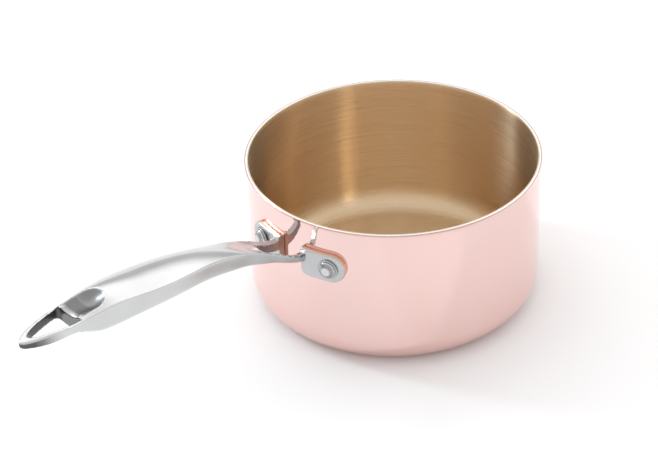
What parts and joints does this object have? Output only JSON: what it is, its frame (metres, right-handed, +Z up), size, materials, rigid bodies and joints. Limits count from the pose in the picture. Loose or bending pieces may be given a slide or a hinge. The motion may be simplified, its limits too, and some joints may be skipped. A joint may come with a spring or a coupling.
{
  "type": "saucepan",
  "caption": "Straight-sided saucepan with a copper outside, a brushed steel inside and a riveted cast stem handle that forks into lugs and has a hanging hole.",
  "frame": {"origin": "centre of the flat base, on the surface that the pan stands on", "axes": "+Z up out of the mouth; the handle points along -X; the object is its own mirror image across the XZ plane"},
  "size_m": [0.34, 0.1608, 0.1109],
  "materials": {
    "copper": "mirror-polished copper",
    "core": "plain, bonded between the skins, seen only at the rim",
    "liner": "brushed round the axis",
    "handle_steel": "polished cast stainless steel",
    "rivet_steel": "satin turned steel",
    "washer_steel": "satin steel"
  },
  "bodies": {
    "root": {"copper_shell": "copper", "aluminium_core": "core", "steel_liner": "liner", "handle": "handle_steel", "left_rivet": "rivet_steel", "right_rivet": "rivet_steel", "left_rivet_washer": "washer_steel", "right_rivet_washer": "washer_steel"}
  },
  "joints": []
}
